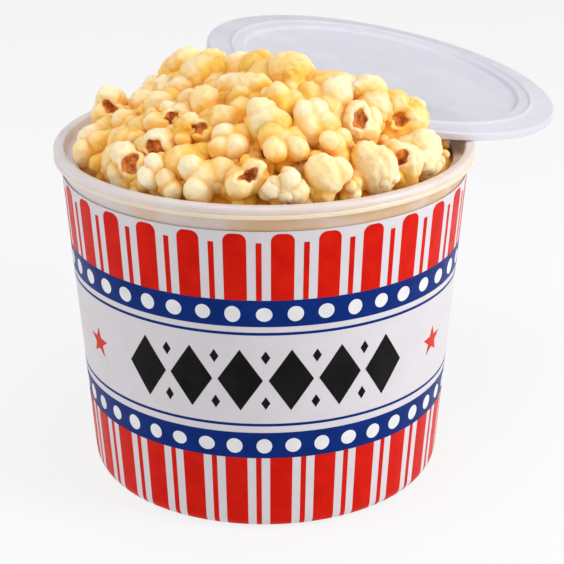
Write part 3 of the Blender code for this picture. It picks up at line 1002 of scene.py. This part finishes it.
def popped(ball, centre, radius, seed, at_wall=False, hull=None):
    """Points of one popped kernel, and how much each lies in a crease and on the hull, from 0 to 1."""
    parts, stretch, turn = lobes(seed, centre)
    draw = np.random.default_rng(seed)
    directions = ball.directions
    wave = draw.uniform(0, 2 * math.pi, (3, 3))
    warp = sum(np.sin(directions[:, [axis]] * WARP_WAVES + wave[axis]) for axis in range(3))
    warped = directions + WARP * warp
    warped /= np.linalg.norm(warped, axis=1, keepdims=True)
    reach = ray_reach(warped, with_buds(parts, seed))
    hollow = np.zeros(len(reach))
    spin = np.array(turn)
    if hull is not None:
        off = pit_distance(directions, np.array(hull) @ spin, draw)
        hollow = np.clip((HULL_EDGE[0] - off) / HULL_EDGE[1], 0, 1)
        sunk = np.clip((PIT_EDGE[0] - off) / PIT_EDGE[1], 0, 1)
        reach = reach * (1 - HULL_DEPTH * sunk * sunk * (3 - 2 * sunk))
        reach += PIT_LIP_HEIGHT * np.exp(-((off - PIT_LIP[0]) / PIT_LIP[1]) ** 2)
    crease = np.clip((ball.smoothed(reach, CREASE_ROUNDS) - reach) / CREASE_DEPTH, 0, 1)
    points = (directions * reach[:, None] * np.array(stretch)) @ spin.T * radius
    first, second = RIPPLE_WAVES
    ripple = sum(
        np.sin(points[:, [axis]] * first + 2 * np.sin(points[:, [axis - 1]] * second) + wave[axis])
        for axis in range(3)
    ).sum(axis=1)
    points *= 1 + RIPPLE * ripple[:, None]
    points += np.array(centre)
    if at_wall:
        shift = wall_room(points).min() - 2 * GAP
        points[:, :2] += np.array(centre.xy.normalized()) * shift
    return points, crease, hollow


def lowered_at(place, pose):
    """How much lower the heap lies round a kernel than its dome: by the lid, or at the back left."""
    dome = heap_top(place.x, place.y) - CORE_DEPTH
    return max(0.0, dome - core_top(place.x, place.y, pose))


def dome_rise(points):
    """The rise of the heap's dome above the rim at many points at once, as in heap_top."""
    share = np.clip(np.hypot(points[:, 0], points[:, 1]) / HEAP_RADIUS, 0, 1)
    rise = HEAP_RISE * (1 - share**HEAP_ROUNDNESS) ** HEAP_SHOULDER
    rise *= 1 - HEAP_LEFT_DROP * (np.maximum(0, -points[:, 0]) / HEAP_RADIUS) ** HEAP_LEFT_POWER
    return rise


def tone_of(points, crease, hollow, others, own, lowered):
    """Orange, buttery and hull values: orange and buttery painted shade in creases, low down and where
    kernels meet.
    """
    centres, radii = others
    near = np.full(len(points), FAR)
    for index in range(len(centres)):
        if index != own and np.linalg.norm(centres[index] - centres[own]) < KERNELS_NEAR:
            gap = np.linalg.norm(points - centres[index], axis=1) - radii[index]
            near = np.minimum(near, gap)
    # Painted shade where kernels meet, deep down and in creases, as orange and buttery tone
    meeting = np.clip(1 - (near + MEETING_OVERLAP) / MEETING_WIDTH, 0, 1)
    surface = RIM_HEIGHT + dome_rise(points) - lowered
    deep = np.clip((surface - points[:, 2] - DEEP_START) / DEEP_RANGE, 0, 1)
    # Each kernel's own buttery tone, at random; the rest is painted shade
    own_butter = random.Random(own).uniform(0.0, OWN_BUTTER)
    in_crease, in_meeting, in_deep = ORANGE_OF
    orange = in_crease * crease**2 + in_meeting * meeting * (SHALLOW_MEETING + deep)
    orange += in_deep * deep**DEEP_POWER
    in_crease, in_meeting, in_deep = BUTTER_SHADE_OF
    butter_and_shade = own_butter + in_crease * crease + in_meeting * meeting + in_deep * deep
    solid = np.ones(len(points))
    return np.stack((np.clip(orange, 0, 1), np.clip(butter_and_shade, 0, 1), hollow, solid), axis=1)


def set_tone(mesh, tones):
    colours = mesh.color_attributes.new("tone", "FLOAT_COLOR", "POINT")
    colours.data.foreach_set("color", tones.ravel())


def joined(name, ball, made, material):
    """One piece from many kernels, each a list of points and tones on the same ball."""
    count = len(ball.directions)
    points = np.concatenate([points for points, _ in made]) * MM
    tones = np.concatenate([tone for _, tone in made])
    faces = np.concatenate([ball.faces + index * count for index in range(len(made))])
    mesh = bpy.data.meshes.new(name)
    mesh.from_pydata(points.tolist(), [], faces.tolist())
    mesh.shade_smooth()
    set_tone(mesh, tones)
    return placed(name, mesh, material)


def camera_axes():
    """Directions ahead, to the right and up, as the camera looks."""
    flat = Vector((math.sin(CAMERA_YAW), math.cos(CAMERA_YAW), 0))
    ahead = flat * math.cos(CAMERA_PITCH) - Vector((0, 0, math.sin(CAMERA_PITCH)))
    right = Vector((math.cos(CAMERA_YAW), -math.sin(CAMERA_YAW), 0))
    return ahead, right, right.cross(ahead)


def pixel_of(point):
    """Where a point of the heap lies in the camera's picture."""
    ahead, right, up = camera_axes()
    away = Vector(point) * MM - CAMERA_PLACE
    per_length = FOCAL_PIXELS / away.dot(ahead)
    middle = IMAGE_PIXELS / 2
    return Vector((middle + away.dot(right) * per_length, middle - away.dot(up) * per_length))


def covered_kernels(found, seen):
    """For each kernel, whether a nearer one stands in front of its middle."""
    ahead = camera_axes()[0]
    order = range(len(found))
    depths = [(kernel[0] * MM - CAMERA_PLACE).dot(ahead) for kernel in found]
    widths = [COVER_SHARE * found[index][1] * MM * FOCAL_PIXELS / depths[index] for index in order]

    def covers(other, index):
        return depths[other] < depths[index] and (seen[other] - seen[index]).length < widths[other]

    return [any(covers(other, index) for other in order) for index in order]


def hull_directions(found):
    """Where the hull faces, for the kernels nearest to the front's brown spots and for some behind."""
    ahead = camera_axes()[0]
    towards = {}
    seen = [pixel_of(kernel[0]) for kernel in found]
    covered = covered_kernels(found, seen)
    for pixel in HULL_PIXELS:
        free = [index for index in range(len(found)) if index not in towards and not covered[index]]
        index = min(free, key=lambda index: (seen[index] - Vector(pixel)).length)
        draw = random.Random(index)
        tilt = Vector(draw.uniform(-HULL_TILT, HULL_TILT) for _ in range(3))
        towards[index] = tilt - ahead + Vector((0, 0, HULL_RAISED))
    for index in range(1, len(found), BACK_HULLS):
        place = found[index][0]
        if index not in towards and place.y > BACK_HULL_START:
            towards[index] = Vector((place.x, place.y, BACK_HULL_RISE))
    return towards


def small_kernels(found, pose):
    """The small kernels that fill the gaps between the large ones, listed as in kernels."""
    draw = random.Random(SEED + 1)
    places = spiral(SMALL_COUNT, SMALL_REACH, 1.0)
    radii = [draw.uniform(*SMALL_RADIUS) for _ in places]
    spread_out(places, radii, SMALL_SPACING)
    small = []
    for index, (flat, radius) in enumerate(zip(places, radii)):
        height = core_top(flat.x, flat.y, pose) + SMALL_LIFT * radius
        extent = radius * KERNEL_EXTENT + GAP
        height = min(height, below_lid(flat.x, flat.y, pose, extent) - extent)
        near_wall = flat.length > LEDGE_RADIUS - 2 * GAP - extent
        at_wall = near_wall and below_lid(flat.x, flat.y, pose, 2 * extent) == math.inf
        if not at_wall:
            flat = flat * min(1.0, (LEDGE_RADIUS - 2 * GAP - extent) / flat.length)
        small.append((Vector((*flat, height)), radius, SEED * 2000 + index, at_wall))
    for x, y, above_rim, radius in SIDE_KERNELS:
        small.append((Vector((x, y, RIM_HEIGHT + above_rim)), radius, SEED * 2000 + len(small), True))
    return small


def least_kernels(others, pose):
    """The least kernels, which cover the core where none of the others does, listed as in kernels."""
    draw = random.Random(SEED + 2)
    centres = [kernel[0] for kernel in others]
    radii = [kernel[1] for kernel in others]
    least = []
    for index in range(LEAST_SPOTS):
        radius = draw.uniform(*LEAST_RADIUS)
        extent = radius * KERNEL_EXTENT + GAP
        angle = index * GOLDEN_ANGLE
        along = (LEDGE_RADIUS - 2 * GAP - LEAST_EDGE * radius) * math.sqrt((index + 0.5) / LEAST_SPOTS)
        x, y = along * math.cos(angle), along * math.sin(angle)
        height = core_top(x, y, pose) + LEAST_LIFT * radius
        place = Vector((x, y, min(height, below_lid(x, y, pose, extent) - extent)))
        room = [LEAST_FROM_OTHERS * size + LEAST_FROM_OWN * radius for size in radii]
        if all((place - centre).length > needed for centre, needed in zip(centres, room)):
            centres.append(place)
            radii.append(radius)
            least.append((place, radius, SEED * 3000 + index, False))
    return least


def make_core(pose, material):
    """The dense corn under the kernels, from the tub's floor up, with a lumpy top."""
    bm = bmesh.new()
    edge = LEDGE_RADIUS - 2 * GAP
    below_ledge = RIM_HEIGHT - LEDGE_DEPTH - 3 * LEDGE_THICKNESS

    def ring(radius, height_at):
        made = []
        for step in range(CORE_STEPS):
            angle = 2 * math.pi * step / CORE_STEPS
            x, y = radius * math.cos(angle), radius * math.sin(angle)
            made.append(bm.verts.new((x * MM, y * MM, height_at(x, y) * MM)))
        return made

    def lumpy(x, y):
        lump = math.sin(x * 0.52 + 1.3 * math.sin(y * 0.31)) * math.sin(y * 0.57 + 1.1 * math.sin(x * 0.37))
        return core_top(x, y, pose) + CORE_LUMPS * (lump - 1)

    outline = [(inner_wall_radius(CORNER_RADIUS) - CORNER_RADIUS, FLOOR_THICKNESS + GAP)]
    outline += [(inner_wall_radius(height) - 2 * GAP, height) for height in (CORNER_RADIUS, below_ledge - 2)]
    outline += [(edge, RIM_HEIGHT - CORE_EDGE)]
    rings = [ring(radius, lambda x, y, height=height: height) for radius, height in outline]
    for step in range(CORE_RINGS, 0, -1):
        rings.append(ring(0.98 * edge * step / CORE_RINGS, lumpy))
    for low, high in zip(rings, rings[1:]):
        bridge(bm, low, high)
    for end in (rings[0], rings[-1]):
        fan(bm, end, bm.verts.new(sum((vert.co for vert in end), Vector()) / CORE_STEPS))
    bmesh.ops.recalc_face_normals(bm, faces=bm.faces)
    core = finished("corn_core", bm, material, sharp=80)
    # The core is painted with the shade of deep corn
    set_tone(core.data, np.tile(CORE_SHADE_TONE, (len(core.data.vertices), 1)))
    return core


def make_heap(pose):
    """The core and the large, small and least kernels, all in the place of the solid heap."""
    found = kernels(pose)
    small = small_kernels(found, pose)
    core = make_core(pose, corn("corn_dense", 0.55))
    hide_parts("popcorn")
    least = least_kernels(found + small, pose)
    everything = found + small + least
    others = (
        np.array([kernel[0] for kernel in everything]),
        np.array([MEETING_RADIUS * kernel[1] for kernel in everything]),
    )
    hulls = hull_directions(found)
    numbers = range(len(everything))
    first_small, first_least = len(found), len(found) + len(small)
    ball, puffed, crisp = Ball(5), corn("corn_puffed", 0.48), corn("corn_small", 0.5)
    pieces = [
        (f"popped_corn_{kind + 1}", ball, puffed, numbers[kind:first_small:KINDS]) for kind in range(KINDS)
    ]
    pieces.append(("popped_corn_small", Ball(4), crisp, numbers[first_small:first_least]))
    pieces.append(("popped_corn_least", Ball(3), crisp, numbers[first_least:]))
    for name, ball, material, members in pieces:
        made = []
        for index in members:
            place, radius, seed, at_wall = everything[index]
            points, *marks = popped(ball, place, radius, seed, at_wall, hulls.get(index))
            made.append((points, tone_of(points, *marks, others, index, lowered_at(place, pose))))
        joined(name, ball, made, material)


# Stage

def area_light(name, place, target, size, power):
    light = bpy.data.lights.new(name, "AREA")
    light.shape = "RECTANGLE"
    light.size, light.size_y = size
    light.energy = power
    obj = added(name, light)
    obj.location = place
    obj.rotation_euler = (Vector(target) - Vector(place)).to_track_quat("-Z", "Y").to_euler()


def make_stage():
    """A pale glowing floor, an even white world and three soft lights."""
    mesh = bpy.data.meshes.new("floor")
    half = FLOOR_HALF
    corners = [(-half, -half, 0), (half, -half, 0), (half, half, 0), (-half, half, 0)]
    mesh.from_pydata(corners, [], [(0, 1, 2, 3)])
    floor = added("floor", mesh)
    floor.location.z = -FLOOR_DROP
    pale, tree, shader = new_material(
        "floor_pale", FLOOR_COLOUR, 0.9, Specular_IOR_Level=0.0, Emission_Color=(1, 1, 1, 1),
        Emission_Strength=FLOOR_GLOW,
    )
    tint = ranged(tree, noise(tree, 3, 2), *NOISE_WIDE, 0, 1)
    tree.links.new(mixed(tree, tint, FLOOR_COLOUR, FLOOR_DEEP), shader.inputs["Base Color"])
    mesh.materials.append(pale)
    world = bpy.data.worlds.new("studio")
    world.use_nodes = True
    background = world.node_tree.nodes["Background"]
    background.inputs["Color"].default_value = (1, 1, 1, 1)
    background.inputs["Strength"].default_value = WORLD_STRENGTH
    bpy.context.scene.world = world
    area_light("key_right", (0.9, -0.35, 0.6), (0.02, 0, 0.1), (0.4, 0.7), KEY_POWER)
    area_light("fill_left", (-0.9, -0.3, 0.5), (-0.02, 0, 0.1), (0.4, 0.8), FILL_POWER)
    area_light("top", (0.0, -0.1, 1.1), (0, 0, 0.15), (0.5, 0.5), TOP_POWER)
    bpy.context.scene.view_settings.view_transform = "Standard"


def make_camera():
    data = bpy.data.cameras.new("camera")
    data.sensor_width = SENSOR_WIDTH
    data.lens = FOCAL_PIXELS * SENSOR_WIDTH / IMAGE_PIXELS
    camera = added("camera", data)
    camera.location = CAMERA_PLACE
    camera.rotation_euler = (math.pi / 2 - CAMERA_PITCH, 0, -CAMERA_YAW)
    bpy.context.scene.camera = camera


make_camera()
make_stage()
# The tub's lip carries the painted tan of the corn
tub = make_tub(milky("tub_milky", MILKY, MILKY_CLOUD, 0.3, corn_tan_painted=True))
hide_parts("bucket")
sleeve = make_sleeve(ink("print_ground", WHITE_INK, WHITE_INK_DEEP))
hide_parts("label")
make_print((
    ink("ink_red", RED, RED_DEEP),
    ink("ink_blue", BLUE, BLUE_DEEP),
    ink("ink_white", DOT_WHITE, DOT_WHITE_DEEP),
    ink("ink_black", BLACK, BLACK_DEEP),
    ink("ink_star", STAR_RED, STAR_RED_DEEP),
))
resting = lid_pose()
lid = make_lid(resting, milky("lid_milky", MILKY_LID, MILKY_LID_CLOUD, 0.35))
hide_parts("lid")
make_heap(resting)
